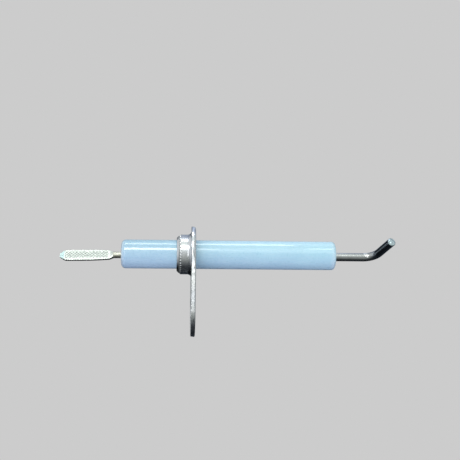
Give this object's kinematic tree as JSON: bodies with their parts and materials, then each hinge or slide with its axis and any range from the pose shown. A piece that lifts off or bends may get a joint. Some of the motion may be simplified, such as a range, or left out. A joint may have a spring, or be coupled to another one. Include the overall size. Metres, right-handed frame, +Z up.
{
  "type": "flame sensor probe",
  "caption": "Flame sensor probe: bent metal rod in a glazed ceramic tube, with a crimped steel mounting bracket and a flat push-on terminal blade.",
  "frame": {"origin": "Where the ceramic tube's axis meets the bracket's mounting face, the face that bears on the burner", "axes": "+X runs along the tube towards the flame tip, +Z is up, opposite the way the bracket's tongue hangs, and the bent tip reaches towards -Y and +Z"},
  "size_m": [0.0778, 0.0144, 0.026],
  "materials": {
    "blue_glaze": "gloss",
    "rod_alloy": "drawn, polished",
    "plated_wire": "bright plated",
    "plated_sheet": "bright zinc plated",
    "braze": "satin",
    "soft_wire": "satin",
    "cement": "matt",
    "packing": "matt"
  },
  "bodies": {
    "root": {"ceramic_insulator": "blue_glaze", "sensing_rod": "rod_alloy", "terminal_blade": "plated_wire", "lead_braze": "braze", "front_bore_cement": "cement", "rear_bore_cement": "cement", "mounting_bracket": "plated_sheet", "crimp_ring": "soft_wire", "collar_packing": "packing", "collar_cement": "cement"}
  },
  "joints": []
}
